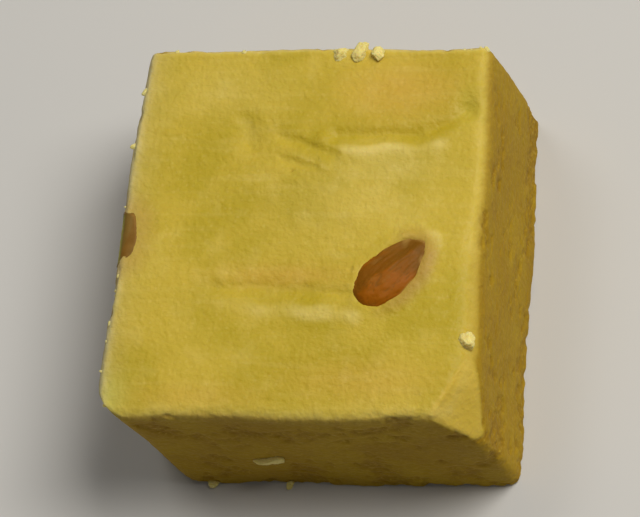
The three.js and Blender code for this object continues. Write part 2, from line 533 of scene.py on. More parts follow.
# Shares of a colour. Where there are two, a pattern raises the first to the second
WARM_SHARE = (0.45, 0.95)
DRY_SHARE = (0.2, 0.45)
DRAWN_LOSS = 0.2
GAP_SHARE = (0.18, 0.34)
GRAIN_SHARE = (0.14, 0.4)
# The cut sides' colour is partly painted shade
CUT_AND_SHADE_SHARE = 0.94
# The facets' pressed colour is partly painted highlight
PRESSED_AND_HIGHLIT_SHARE = 0.7
RIM_TONE = (0.5, 1.0)
LIP_TONE = (0.45, 1.2)
GREEN_SHARE = 0.8
# The greyish painted highlight along the left edge
LEFT_HIGHLIGHT_SHARE = (0.5, 1.1)
STAIN_SHARE = 0.75

# The paste's roughness, what its patterns add to it, and its bumps, each with its strength and distance
PASTE_ROUGHNESS = 0.34
MOTTLE_ROUGHNESS = 0.16
CUT_ROUGHNESS = 0.28
CURD_ROUGHNESS = 0.12
RIM_ROUGHNESS = 0.1
GRAIN_HEIGHT = (0.35, 0.75)
GRANULE_HEIGHT = (0.4, 1.2)
CURD_BUMP = (0.6, 0.26 * MM)
GRAIN_BUMP = (0.6, 0.16 * MM)

# The crumbs' finish
CRUMB_GRAIN = Texture(0.3 * MM, 3.0, 2.0)
CRUMB_LUMP = Texture(0.8 * MM, 2.0, 6.0)
PALE_LUMPS = Mask(0.35, 0.7, 0.5)
DEEP_GRAINS = Mask(0.55, 0.3, 0.3)
CRUMB_ROUGHNESS = (0.62, 0.82)
CRUMB_BUMP = (0.4, 0.08 * MM)

# The kernels' finish: the turn from bright to dark skin along the kernel, and the rings of its flesh
SKIN_MOTTLE = Texture(1.7 * MM, 3.0, 1.0)
SKIN_FIBRE = Texture(0.3 * MM, 2.0, 4.0)
SKIN_TURN = (0.45, 0.72)
SKIN_SWING = 0.55
DULL_SHARE = (0.6, 1.2)
CREASES = Mask(0.15, 0.8, 0.65)
BLOOM = Mask(0.58, 0.76, 0.3)
FLESH_RINGS = (0.08, 0.4, 0.9)
FLESH_SWING = 0.5
FIBRE_SWING = 0.25
FLESH_RIM = Mask(0.08, 0.2)
SPLIT_SHARE = 0.55
SKIN_ROUGHNESS = (0.5, 0.66)
SKIN_BUMP = (0.3, 0.08 * MM)

# The stage: its floor, its lights and the point that the camera looks at
FLOOR_HALF = 2.5
FLOOR_CELLS = 8
FLOOR_CLOUD = Texture(0.4)
FLOOR_DEPTH = 0.95
FLOOR_ROUGHNESS = (0.62, 0.74)
LAMPS = (
    Lamp("key", Vector((0.44, 0.2, 0.76)), 0.45, srgb(255, 251, 244)),
    Lamp("fill", Vector((-0.55, -0.6, 0.5)), 0.7, srgb(255, 248, 236)),
    Lamp("sheen", Vector((-0.29, 0.36, 0.84)), 0.3, srgb(255, 252, 246)),
)
WORLD_TINT = srgb(240, 240, 240)
WORLD_STRENGTH = 0.08
AIM = Vector((0.8 * MM, -1.2 * MM, 16.0 * MM))


def length(name, description, default):
    return FloatProperty(
        name=name, description=description, default=default, min=0.0, precision=5, unit="LENGTH"
    )


def angle(name, description, degrees):
    default = math.radians(degrees)
    return FloatProperty(name=name, description=description, default=default, subtype="ANGLE")


def power(name, description, default):
    return FloatProperty(name=name, description=description, default=default, min=0.0, unit="POWER")


def colour(name, description, *rgb):
    return FloatVectorProperty(
        name=name, description=description, default=srgb(*rgb), size=3, min=0.0, max=1.0, subtype="COLOR"
    )


class BarfiPaste(bpy.types.PropertyGroup):
    """Sizes and colours of the block of paste."""

    front_width: length("Front width", "Width of the block along its front", 42.9 * MM)
    back_width: length("Back width", "Width of the block along its back", 40.2 * MM)
    depth: length("Depth", "Depth of the block from front to back", 43.8 * MM)
    height: length("Height", "Height of the block", HEIGHT)
    edge_radius: length("Edge radius", "Rounding of the cut edges", 1.3 * MM)
    main: colour("Paste", "Main colour of the paste", 203, 177, 58)
    olive: colour("Olive", "Greener, deeper parts of the paste", 187, 164, 38)
    # Pale also paints the highlights on the rims, on the marks' lips and on raised relief
    pale: colour("Pale", "Dry rims, lips and crumbs", 232, 211, 122)
    green: colour("Green", "Greener spots of the paste", 198, 188, 76)
    # A greyish painted highlight along the left edge
    ash: colour("Ash", "Greyish dry paste along the left rim", 200, 190, 146)
    warm: colour("Warm", "Warmer patches of the paste", 211, 170, 68)
    # Painted shade in the spatula marks' troughs
    trough: colour("Trough", "Bottom of the spatula marks", 190, 148, 46)
    # Cut and drawn are deeper than the paste's own inside: partly moister cut paste, partly painted
    # shade of the shaded sides
    cut: colour("Cut", "Inside of the paste on the cut sides", 160, 124, 12)
    drawn_and_shaded: colour("Drawn", "Cut sides where the knife has smeared the paste", 176, 144, 20)
    # Partly painted highlight on the facets that face the light
    pressed: colour("Pressed", "Facets that were pressed flat", 212, 180, 70)
    stain: colour("Stain", "Tint that the kernels leave in the paste", 180, 142, 68)
    # Painted shade in pits, tears and the gaps between granules
    hollow_shade: colour("Deep", "Pits and tears of the paste", 138, 100, 14)
    crumb: colour("Crumb", "Dry crumbs of the paste", 238, 220, 140)
    crumbs: IntProperty(name="Crumbs", description="Small crumbs stuck to the block", default=18, min=0)


class BarfiKernels(bpy.types.PropertyGroup):
    """Colours of the pistachio kernels."""

    skin: colour("Skin", "Orange-brown end of the skin", 156, 88, 0)
    dark: colour("Dark skin", "Darker end of the skin", 122, 79, 10)
    dull: colour("Dull skin", "Skin of the kernel that the knife dragged", 106, 84, 34)
    bloom: colour("Bloom", "Pale bloom on the skin", 160, 117, 52)
    green: colour("Green", "Flesh just under the skin", 104, 104, 34)
    flesh: colour("Flesh", "Cut flesh", 150, 146, 58)
    heart: colour("Heart", "Middle of the cut flesh", 186, 174, 92)


class BarfiStage(bpy.types.PropertyGroup):
    """The floor, the lights and the camera."""

    floor: colour("Floor", "Colour of the floor", 210, 209, 206)
    azimuth: angle("Azimuth", "Camera's turn from the front to the right", 40.2)
    elevation: angle("Elevation", "Camera's height over the horizon", 63.2)
    distance: length("Distance", "Camera's distance from the block", 515.0 * MM)
    lens: FloatProperty(name="Lens", description="Focal length in millimetres", default=262.0, min=1.0)
    key: power("Key light", "Power of the key light", 6.9)
    fill: power("Fill light", "Power of the fill light", 0.25)
    sheen: power("Sheen light", "Power of the light from behind", 1.2)


class Field:
    """One output of a material's nodes. Arithmetic on fields adds Math nodes."""

    def __init__(self, finish, socket):
        self.finish = finish
        self.socket = socket

    def _math(self, operation, first, second):
        return self.finish.node("ShaderNodeMath", {"operation": operation}, {0: first, 1: second})

    def __add__(self, other):
        return self._math("ADD", self, other)

    def __radd__(self, other):
        return self._math("ADD", other, self)

    def __sub__(self, other):
        return self._math("SUBTRACT", self, other)

    def __rsub__(self, other):
        return self._math("SUBTRACT", other, self)

    def __mul__(self, other):
        return self._math("MULTIPLY", self, other)

    def __rmul__(self, other):
        return self._math("MULTIPLY", other, self)

    def masked(self, mask):
        """Rises smoothly to the mask's share between its limits. The low one may be the larger."""
        limits = {"Value": self, "From Min": mask.low, "From Max": mask.high}
        smooth = {"interpolation_type": "SMOOTHSTEP"}
        return self.finish.node("ShaderNodeMapRange", smooth, limits) * mask.share

    def ranged(self, low, high):
        """Runs from low to high as the field goes from 0 to 1."""
        return low + self * (high - low)

    def swung(self, share):
        """Runs to half of the share on either side of 0 as the field goes from 0 to 1."""
        return (self - 0.5) * share


class Finish:
    """A material with a Principled shader, whose constant sockets are set when it is made."""

    def __init__(self, name, constants):
        self.material = bpy.data.materials.new(name)
        self.material.use_nodes = True
        self.tree = self.material.node_tree
        self.shader = self.tree.nodes["Principled BSDF"]
        for socket, value in constants.items():
            self.shader.inputs[socket].default_value = value
        self.place = self.node("ShaderNodeTexCoord", output="Object")

    def node(self, kind, settings=None, sockets=None, output=0):
        """Adds a node, sets its settings and then its sockets, and gives back one of its outputs."""
        made = self.tree.nodes.new(kind)
        for setting, value in (settings or {}).items():
            if setting == "stops":
                set_stops(made.color_ramp, value)
            else:
                setattr(made, setting, value)
        for socket, value in (sockets or {}).items():
            if isinstance(value, Field):
                self.tree.links.new(value.socket, made.inputs[socket])
            else:
                made.inputs[socket].default_value = value
        return Field(self, made.outputs[output])

    def feed(self, socket, field):
        self.tree.links.new(field.socket, self.shader.inputs[socket])

    def attribute(self, name):
        return self.node("ShaderNodeAttribute", {"attribute_name": name}, output="Fac")

    def spread(self, texture):
        """Object coordinates scaled so that the texture's features come out at its size."""
        scale = [1 / (texture.size * s) for s in texture.stretch]
        sockets = {"Vector": self.place, "Scale": scale, "Location": [texture.shift] * 3}
        return self.node("ShaderNodeMapping", None, sockets)

    def ripple(self, texture):
        sockets = {"Vector": self.spread(texture), "Scale": 1.0, "Detail": texture.detail}
        return self.node("ShaderNodeTexNoise", None, sockets)

    def ramp(self, field, stops):
        return self.node("ShaderNodeValToRGB", {"stops": stops}, {"Fac": field})

    def coats(self, tint, *coats):
        """Lays colours over a tint one after another, each by its share. A colour may be a field."""
        for share, over in coats:
            sockets = {0: share, 6: opaque(tint), 7: opaque(over)}
            tint = self.node("ShaderNodeMix", {"data_type": "RGBA"}, sockets, output=2)
        return tint

    def bump(self, height, strength, distance, under=None):
        sockets = {"Height": height, "Strength": strength, "Distance": distance}
        if under is not None:
            sockets["Normal"] = under
        return self.node("ShaderNodeBump", None, sockets)


def opaque(tint):
    """A colour with three numbers gets its alpha. A field stays as it is."""
    return tint if isinstance(tint, Field) else (*tint, 1.0)


def set_stops(ramp, stops):
    while len(ramp.elements) < len(stops):
        ramp.elements.new(1.0)
    for element, (place, tint) in zip(ramp.elements, stops):
        element.position = place
        element.color = opaque(tint)


def paste_finish(paste):
    """Milk paste: a softly mottled yellow top with pale rims, partly dry paste and partly painted
    highlight, and deeper, granular cut sides, partly painted shade.
    """
    finish = Finish("milk_paste", {
        "Subsurface Weight": 0.14,
        "Subsurface Radius": (1.0, 0.62, 0.2),
        "Subsurface Scale": 1.0 * MM,
        "Specular IOR Level": 0.2,
    })
    rim, ash, cut, torn, smear, stain, pressed, height = map(finish.attribute, BLOCK_VALUES)
    warmth, dryness, greenness = map(finish.attribute, TONE_PATCHES)
    drift = finish.ripple(DRIFT)
    mottle = finish.ripple(MOTTLE)
    streak = finish.ripple(SMEAR_STREAK)
    curd = finish.ripple(CURD)
    grain = finish.ripple(GRAIN)
    cells = {"Vector": finish.spread(CURD_CELLS), "Scale": 1.0}
    shade = finish.node("ShaderNodeTexVoronoi", None, cells, output="Color")
    middle = finish.node("ShaderNodeTexVoronoi", None, cells, output="Distance")
    granules = finish.node(
        "ShaderNodeTexVoronoi",
        {"feature": "SMOOTH_F1"},
        {"Vector": finish.spread(GRANULES), "Scale": 1.0, "Smoothness": GRANULE_SMOOTHNESS},
        output="Distance",
    )

    # The cut sides' colour: partly the moister inside of the paste, partly painted shade
    inside = finish.coats(
        paste.cut,
        (drift.masked(DRAWN_CLOUDS) + mottle.masked(DRAWN_MOTTLE) - torn * DRAWN_LOSS, paste.drawn_and_shaded),
        # Painted shade in the gaps between granules on torn sides
        (granules.masked(GRANULE_GAP_SHADE) * torn.ranged(*GAP_SHARE), paste.hollow_shade),
        (grain.masked(PALE_GRAINS) * torn.ranged(*GRAIN_SHARE), paste.pressed),
    )
    milky = middle.masked(CURD_MIDDLES) * shade.masked(PALE_CURDS)
    milky = milky + mottle.masked(PALE_MOTTLE) + streak.masked(PALE_STREAKS)
    # Pale rims, partly drier paste and partly painted highlight, and painted light on raised relief
    dry_and_highlit = rim * curd.ranged(*RIM_TONE) + height.masked(RAISED_LIGHT)
    # Painted highlights on the spatula marks' lips and on the pale lip at a kernel's end
    dry_and_highlit = dry_and_highlit + smear.masked(LIP_HIGHLIGHTS) * streak.ranged(*LIP_TONE)
    finish.feed("Base Color", finish.coats(
        paste.olive,
        (drift.masked(CLOUDS), paste.main),
        (warmth * mottle.ranged(*WARM_SHARE), paste.warm),
        (milky + dryness * mottle.ranged(*DRY_SHARE), paste.pale),
        # Partly painted shade on the cut sides
        (cut * CUT_AND_SHADE_SHARE, inside),
        # Facets: partly pressed paste, partly painted highlight
        (pressed * PRESSED_AND_HIGHLIT_SHARE, paste.pressed),
        # Painted shade in the spatula marks' troughs
        (smear.masked(TROUGH_SHADE), paste.trough),
        (dry_and_highlit.masked(DRY_AND_HIGHLIT), paste.pale),
        (greenness * GREEN_SHARE, paste.green),
        # Greyish painted highlight along the left edge
        (ash * curd.ranged(*LEFT_HIGHLIGHT_SHARE), paste.ash),
        (stain * STAIN_SHARE, paste.stain),
        # Painted shade in the hollows of the relief
        (height.masked(SUNK_SHADE), paste.hollow_shade),
    ))
    roughness = PASTE_ROUGHNESS + mottle * MOTTLE_ROUGHNESS + cut * CUT_ROUGHNESS
    finish.feed("Roughness", roughness + curd * CURD_ROUGHNESS + rim * RIM_ROUGHNESS)
    rough = grain * cut.ranged(*GRAIN_HEIGHT) + granules * (cut * torn.ranged(*GRANULE_HEIGHT))
    finish.feed("Normal", finish.bump(rough, *GRAIN_BUMP, finish.bump(curd, *CURD_BUMP)))
    return finish.material


def crumb_finish(paste):
    """Dry crumbs: paler than the block, and lit through."""
    finish = Finish("dry_crumbs", {
        "Subsurface Weight": 0.45,
        "Subsurface Radius": (1.0, 0.75, 0.35),
        "Subsurface Scale": 1.2 * MM,
        "Specular IOR Level": 0.25,
    })
    grain = finish.ripple(CRUMB_GRAIN)
    lump = finish.ripple(CRUMB_LUMP)
    finish.feed("Base Color", finish.coats(
        paste.crumb,
        (lump.masked(PALE_LUMPS), paste.pale),
        (grain.masked(DEEP_GRAINS), paste.main),
    ))
    finish.feed("Roughness", grain.ranged(*CRUMB_ROUGHNESS))
    finish.feed("Normal", finish.bump(grain, *CRUMB_BUMP))
    return finish.material


def kernel_finish(kernels, paste):
    """Thin brown skin over green flesh, with a pale bloom, a film of paste and a painted highlight on
    one flank.
    """
    finish = Finish("kernel_skin", {
        "Subsurface Weight": 0.1,
        "Subsurface Radius": (1.0, 0.5, 0.25),
        "Subsurface Scale": 0.8 * MM,
        "Specular IOR Level": 0.16,
    })
    along, dull, crease, flesh, split, film = map(finish.attribute, KERNEL_VALUES)
    mottle = finish.ripple(SKIN_MOTTLE)
    fibre = finish.ripple(SKIN_FIBRE)
    ends = tuple(zip(SKIN_TURN, (kernels.skin, kernels.dark)))
    rings = tuple(zip(FLESH_RINGS, (kernels.green, kernels.flesh, kernels.heart)))
    inside = finish.ramp(flesh + mottle.swung(FLESH_SWING) + fibre.swung(FIBRE_SWING), rings)
    finish.feed("Base Color", finish.coats(
        finish.ramp(along + mottle.swung(SKIN_SWING), ends),
        (dull * mottle.ranged(*DULL_SHARE), kernels.dull),
        (crease.masked(CREASES), kernels.dark),
        (mottle.masked(BLOOM), kernels.bloom),
        (flesh.masked(FLESH_RIM), finish.coats(inside, (split * SPLIT_SHARE, kernels.green))),
        # Paste film on the skin, and a painted highlight on one flank in the paste's tint
        (film, paste.stain),
    ))
    finish.feed("Roughness", mottle.ranged(*SKIN_ROUGHNESS))
    finish.feed("Normal", finish.bump(fibre, *SKIN_BUMP))
    return finish.material


def floor_finish(stage):
    """Plain matt floor with a very faint cloudiness."""
    finish = Finish("pale_floor", {"Specular IOR Level": 0.25})
    cloud = finish.ripple(FLOOR_CLOUD)
    deeper = [c * FLOOR_DEPTH for c in stage.floor]
    finish.feed("Base Color", finish.coats(stage.floor, (cloud, deeper)))
    finish.feed("Roughness", cloud.ranged(*FLOOR_ROUGHNESS))
    return finish.material


def finished(mesh, name, material):
    """Turns a bmesh into a smooth shaded object at the origin."""
    data = bpy.data.meshes.new(name)
    mesh.to_mesh(data)
    mesh.free()
    data.shade_smooth()
    data.materials.append(material)
    piece = bpy.data.objects.new(name, data)
    bpy.context.scene.collection.objects.link(piece)
    return piece


def fine_slab():
    """A cube from -1 to 1 with a fine grid on its top and sides and a single face underneath."""
    mesh = bmesh.new()
    bmesh.ops.create_cube(mesh, size=2.0)
    for axis, cells in enumerate(GRID_CELLS):
        runs = [e for e in mesh.edges if abs(e.verts[0].co[axis] - e.verts[1].co[axis]) > 1.0]
        bmesh.ops.subdivide_edges(mesh, edges=runs, cuts=cells - 1, use_grid_fill=True)
    under = [f for f in mesh.faces if f.calc_center_median().z < -0.9999]
    bmesh.ops.delete(mesh, geom=under, context="FACES")
    hole = [e for e in mesh.edges if e.is_boundary]
    bmesh.ops.holes_fill(mesh, edges=hole, sides=0)
    bmesh.ops.recalc_face_normals(mesh, faces=mesh.faces)
    return mesh


def even_out(place):
    """Draws a grid line at -1 to 1 a little towards the edges."""
    return GRID_EVENNESS * place + (1 - GRID_EVENNESS) * math.sin(place * math.pi / 2)


def soft_limit(distance, softness):
    """The lower of a distance and zero, with a rounded change between them."""
    if distance < -softness:
        return distance
    if distance > softness:
        return 0.0
    return -((softness - distance) ** 2) / (4 * softness)


def layered(ripples, point):
    return sum(ripple.at(point) for ripple in ripples)


def mark_relief(mark, spot):
    """Height that one spatula mark adds at a spot of the top."""
    start = Vector(mark.start)
    run = Vector(mark.end) - start
    reach = run.length
    run /= reach
    offset = spot.xy - start
    along = offset.dot(run)
    share = clamp(along / reach, 0.0, 1.0)
    overrun = along - share * reach
    across = run.x * offset.y - run.y * offset.x - mark.bend * 4 * share * (1 - share)
    across += MARK_WANDER.at(spot)
    combed = 1 + COMB_LINES.at(Vector((along, across * COMB_FINENESS, 0.0)))
    trough = -mark.depth * bell(across, mark.width * TROUGH_SHARE) * combed
    ragged = LIP_FULLNESS + LIP_RAGGEDNESS.at(spot)
    grown = mark.lip * mix(*LIP_GROWTH, share)
    lip = grown * bell(across + LIP_OFFSET, mark.width * LIP_SHARE) * ragged
    return (trough + lip) * bell(overrun, mark.width)


def top_relief(paste, x, y):
    """Height of the spread top over the flat cut, and the part of it that the spatula marks make."""
    spot = Vector((x, y, 0.0))
    across = x / (paste.front_width / 2)
    along = y / (paste.depth / 2)
    height = CROWN * ((1 - across ** 2) * (1 - along ** 2) - 1)
    for swell in SWELLS:
        phase = x * math.cos(swell.direction) + y * math.sin(swell.direction)
        height += swell.height * math.sin(2 * math.pi * phase / swell.wavelength)
    for dent in DENTS:
        height -= dent.depth * bell(math.hypot(x - dent.x, y - dent.y), dent.radius)
    marks = sum(mark_relief(mark, spot) for mark in SPATULA_MARKS)
    edge = min(paste.front_width / 2 + x, paste.depth / 2 - y)
    ragged = max(0.0, BURR_FULLNESS + BURR_RAGGEDNESS.at(spot))
    burr = BURR_HEIGHT * bell(edge - BURR_INSET, BURR_WIDTH) * ragged
    return height + marks + burr, marks


def press_facet(paste, point, facet):
    """Presses a point beyond a slanted facet back onto it, and tells how surely it lies on the facet."""
    slope = Vector((facet.side / facet.along_front, -1 / facet.along_side, facet.fade))
    in_front = (paste.front_width / 2 - facet.side * point.x) / facet.along_front
    in_side = (paste.depth / 2 + point.y) / facet.along_side
    reached = 1 - facet.fade * (paste.height - point.z)
    beyond = (reached - in_front - in_side) / slope.length
    point += slope.normalized() * (soft_limit(beyond, facet.softness) - beyond)
    return facet.paleness * smoothstep(*FACET_EDGE, beyond)


def edge_wear_and_highlight(paste, place):
    """How much a point of the sharp block lies on a pale rim, partly dry paste and partly painted
    highlight, and how much on the greyish painted highlight along the left edge.
    """
    right = paste.front_width / 2 - place.x
    left = paste.front_width / 2 + place.x
    back = paste.depth / 2 - place.y
    front = paste.depth / 2 + place.y
    below = paste.height - place.z
    rims = (
        LEFT_RIM.at(below + left),
        BACK_RIM.at(below + back),
        RIGHT_RIM.at(below + right),
        FRONT_RIM.at(below + front) + FRONT_HIGHLIGHT.at(below + front),
        BACK_CORNERS.at(min(left, right) + back),
        BASE_RIM.at(place.z),
    )
    return max(rims), LEFT_EDGE_HIGHLIGHT.at(below + left) + LEFT_HIGHLIGHT_VEIL.at(LEFT_HIGHLIGHT_STEEPNESS * below + left)


def press_block(paste, unit):
    """Where a point of the cube from -1 to 1 lies on the block, with its rim wear and painted highlight,
    the painted highlight of its left edge, its marks and facet.
    """
    half = Vector((paste.front_width, paste.depth, paste.height)) / 2
    place = Vector([even_out(c) * h for c, h in zip(unit, half)])
    radius = paste.edge_radius
    inner = Vector((
        clamp(place.x, radius - half.x, half.x - radius),
        clamp(place.y, radius - half.y, half.y - radius),
        min(place.z, half.z - radius),
    ))
    outward = (place - inner).normalized()
    wear_and_highlight, left_highlight = edge_wear_and_highlight(paste, place + Vector((0, 0, half.z)))
    point = inner + outward * radius
    point.z += half.z
    lifted = max(BASE_RADIUS - point.z, 0.0) / BASE_RADIUS
    point -= outward * BASE_RADIUS * (1 - math.sqrt(1 - lifted ** 2))

    rise = point.z / paste.height
    farness = point.y / paste.depth + 0.5
    wander = CUT_WANDER * math.sin(2 * math.pi * (point.y + point.z) / CUT_WAVELENGTH)
    sway = CUT_WANDER * math.sin(2 * math.pi * (point.x - point.z) / CUT_WAVELENGTH)
    height, marks = top_relief(paste, point.x, point.y)
    point.z += height * smoothstep(RELIEF_START, 1.0, rise)
    pressed = max([press_facet(paste, point, facet) for facet in FACETS])
    spread = 1 + BASE_SPREAD * (1 - rise) / (paste.front_width / 2)
    aside = wander * point.x / paste.front_width * 2
    point.x = point.x * mix(1.0, paste.back_width / paste.front_width, farness) * spread
    point.x += BACK_SHIFT * farness + aside
    point.y = point.y * spread + sway * point.y / paste.depth * 2
    return point, wear_and_highlight, left_highlight, marks, pressed


def spread_relief(point):
    """Relief of the spread top: streaks in patches, hairline wrinkles and the pits of a few bubbles."""
    streaked = smoothstep(*STREAK_EDGE, STREAK_PATCHES.at(point))
    dried = smoothstep(*DRIED_EDGE, DRIED_PATCHES.at(point))
    wrinkles = WRINKLE_HEIGHT * dried * bell(WRINKLES.at(point), WRINKLE_WIDTH)
    return streaked * STREAKS.at(point) + wrinkles - BUBBLES.at(point)


def torn_share(point):
    """How torn a cut side is. It is more so near the base, where the paste broke from the knife."""
    low = smoothstep(TORN_HEIGHT, 0.0, point.z)
    return smoothstep(*TORN_EDGE, layered(TEARS, point) + TORN_BASE * low)


def cut_relief(point, torn):
    """Relief of a cut side: faint drag lines of the knife, and granular hollows where the paste tore."""
    broken = layered(TORN_GRAINS, point) - TORN_DEPTH
    return mix(layered(DRAG_LINES, point), broken, torn) - CUT_PITS.at(point)


def fine_relief(point, top, cut, torn, wear_and_highlight):
    """How far the paste's real surface stands off its smooth form, along the normal."""
    chipped = CHIP_DEPTH * smoothstep(*CHIP_EDGE, RIM_CHIPS.at(point))
    relief = layered(PASTE_RELIEF, point) + wear_and_highlight * (RIM_LUMPS.at(point) - chipped)
    return relief + top * spread_relief(point) + cut * cut_relief(point, torn)


def kernel_turn(kernel):
    return Matrix.Rotation(kernel.turn, 3, "Z") @ Matrix.Rotation(kernel.roll, 3, "X")


def gap_to(socket, point):
    """How far a point lies outside a kernel's uncut surface, or below zero inside it, if it is near."""
    place, normal, _, distance = socket.surface.find_nearest(point, SOCKET_REACH)
    if place is None:
        return None
    return -distance if (point - place).dot(normal) < 0 else distance


def bed_kernel(socket, point, relief):
    """The paste's relief round and under a kernel, its stain there and the pale lip at its end, partly
    painted highlight.
    """
    kernel = socket.kernel
    gap = gap_to(socket, point)
    if gap is None:
        return relief, 0.0, 0.0
    along, side, _ = [a / s * 2 for a, s in zip(socket.turned @ (point - kernel.middle), kernel.size)]
    ragged = 1 + SOCKET_RAGGEDNESS.at(point)
    relief *= smoothstep(*SOCKET_SMOOTHING, gap)
    growth = mix(*BED_LIP_GROWTH, smoothstep(*BED_LIP_RUN, along))
    relief += kernel.lip * bell(gap, BED_LIP_WIDTH) * ragged * growth
    relief -= SOCKET_DEPTH * smoothstep(*SOCKET_WALL, gap + SOCKET_CREEP.at(point))
    fullness = mix(*STAIN_FULLNESS, ragged)
    if kernel.cut_flush:
        return relief, FLUSH_STAIN * smoothstep(FLUSH_STAIN_REACH, STAIN_START, gap) * fullness, 0.0
    far_end = smoothstep(*FAR_END, along)
    stain = smoothstep(mix(*STAIN_REACH, far_end), STAIN_START, gap) * fullness
    stain *= smoothstep(*STAIN_SIDE_EDGE, along * STAIN_SIDE[0] + side * STAIN_SIDE[1])
    # Pale lip at the kernel's far end: partly a lip of paste, partly painted highlight
    lip = END_LIP_HIGHLIGHT * far_end * smoothstep(*END_LIP_HIGHLIGHT_EDGE, gap) * ragged
    return relief, stain * (1 - STAIN_END_LOSS * far_end), lip


def patch_tone(patches, point):
    """How strongly the nearest of these patches tints a point of the top."""
    tones = []
    for patch in patches:
        away = math.hypot((point.x - patch.x) / patch.width, (point.y - patch.y) / patch.depth)
        tones.append(patch.strength * bell(away, 1.0))
    return max(tones)


def refine_sockets(mesh, sockets):
    """Splits the faces along the kernels' outlines, where the paste closes round them."""
    chosen = set()
    for face in mesh.faces:
        gaps = [gap_to(socket, face.calc_center_median()) for socket in sockets]
        if any(gap is not None and abs(gap) < FINER_REACH for gap in gaps):
            chosen.add(face)
    edges = [e for e in mesh.edges if any(face in chosen for face in e.link_faces)]
    bmesh.ops.subdivide_edges(mesh, edges=edges, cuts=1, use_grid_fill=True)


def knead_block(paste):
    """The block with its fine surface and the values that its finish reads."""
    mesh = fine_slab()
    values = {name: mesh.verts.layers.float.new(name) for name in (*BLOCK_VALUES, *TONE_PATCHES)}
    for vert in mesh.verts:
        point, wear_and_highlight, left_highlight, marks, pressed = press_block(paste, vert.co)
        vert.co = point
        # The rim value also paints highlights along the edges
        vert[values["rim"]] = clamp(wear_and_highlight, 0.0, 1.0)
        vert[values["ash"]] = clamp(left_highlight, 0.0, 1.0)
        vert[values["smear"]] = clamp(marks / SMEAR_SCALE, -1.0, 1.0)
        vert[values["pressed"]] = pressed
    sockets = [socket_of(paste, kernel) for kernel in KERNELS]
    refine_sockets(mesh, sockets)
    mesh.normal_update()
    moved = []
    for vert in mesh.verts:
        point = vert.co
        normal = vert.normal
        top = smoothstep(*TOP_SLANT, normal.z)
        cut = (1 - top) * (1 - vert[values["pressed"]])
        torn = torn_share(point)
        relief = fine_relief(point, top, cut, torn, vert[values["rim"]])
        # The relief's height paints light on raised relief and shade in hollows
        vert[values["height"]] = clamp(relief / RELIEF_SCALE, -RELIEF_LIMIT, RELIEF_LIMIT)
        stain = 0.0
        for socket in sockets:
            relief, tinted, lip = bed_kernel(socket, point, relief)
            stain = max(stain, tinted)
            # The pale lip at a kernel's end, partly painted highlight, joins the marks' lips
            vert[values["smear"]] = max(vert[values["smear"]], lip)
        vert[values["cut"]] = cut
        vert[values["torn"]] = torn
        vert[values["stain"]] = clamp(stain, 0.0, 1.0)
        for tone, patches in TONE_PATCHES.items():
            vert[values[tone]] = patch_tone(patches, point) * smoothstep(*TONED_SLANT, normal.z)
        moved.append(point + normal * relief)
    for vert, point in zip(mesh.verts, moved):
        vert.co = (point.x, point.y, max(point.z, 0.0))
    return mesh


def press_flush(paste, point):
    """Presses a point back to where the knife ran along the left face and over the top edge."""
    narrowing = mix(1.0, paste.back_width / paste.front_width, FLUSH_FARNESS)
    left = BACK_SHIFT * FLUSH_FARNESS - paste.front_width / 2 * narrowing
    radius = paste.edge_radius
    reach = radius + FLUSH_PROUD
    axis_x = left + radius
    axis_z = paste.height - FLUSH_DROP - radius
    point.x = max(point.x, axis_x - reach)
    point.z = min(point.z, axis_z + reach)
    corner = Vector((point.x - axis_x, 0.0, point.z - axis_z))
    if corner.x < 0 < corner.z and corner.length > reach:
        corner.length = reach
        point.x = axis_x + corner.x
        point.z = axis_z + corner.z
    return point


def skin_relief(unit):
    """A kernel's relief at a point of the unit ball, with the skin's creases and its slow lumps."""
    seam = bell(math.atan2(unit.y, unit.z), KERNEL_SEAM_WIDTH)
    folds = FOLDS.at(unit)
    fine = FINE_FOLDS.at(unit)
    vein = bell(VEINS.at(unit), VEIN_WIDTH)
    bulk = noise.noise(unit * BULK_TURNS + BULK_SHIFT)
    relief = FOLDS.relief * folds + FINE_FOLDS.relief * fine + VEINS.relief * vein + BULK_RELIEF * bulk
    crease = KERNEL_SEAM_CREASE * seam + FOLDS.crease * max(0.0, -folds)
    crease += FINE_FOLDS.crease * max(0.0, -fine) + VEINS.crease * vein
    return relief - KERNEL_SEAM_DEPTH * seam, crease, bulk


def paste_film(paste, unit, point):
    """How much paste lies on a kernel's skin near the top's level, and a painted highlight on one flank
    in the same tint.
    """
    ragged = FILM_RAGGEDNESS * noise.noise(point / FILM_PATCH)
    above = (point.z - paste.height) / FILM_HEIGHT + ragged + FILM_TILT * (1 + unit.y - unit.x)
    # Painted highlight on one flank, in the tint of a veil of paste
    flank_highlight = KERNEL_HIGHLIGHT_SHARE * bell((unit - KERNEL_HIGHLIGHT_SPOT).length, KERNEL_HIGHLIGHT_WIDTH)
    return max(FILM_SHARE * smoothstep(*FILM_EDGE, above), flank_highlight)


def shave(paste, point, shaped):
    """Cuts a kernel's point flush, and gives its new place, its bare flesh, split and film."""
    pressed = press_flush(paste, point.copy())
    flesh = clamp((pressed - point).x / FLESH_DEPTH, 0.0, 1.0)
    split = bell(shaped.z, SPLIT_WIDTH) * flesh
    ragged = 1 + FLUSH_FILM_RAGGEDNESS * noise.noise(pressed / FLUSH_FILM_PATCH)
    grain = 1 + noise.noise(pressed / FLESH_GRAIN)
    pressed.x += SPLIT_DEPTH * split + FLESH_RELIEF * flesh * grain
    return pressed, flesh, split, (1 - flesh) * FLUSH_FILM_SHARE * ragged


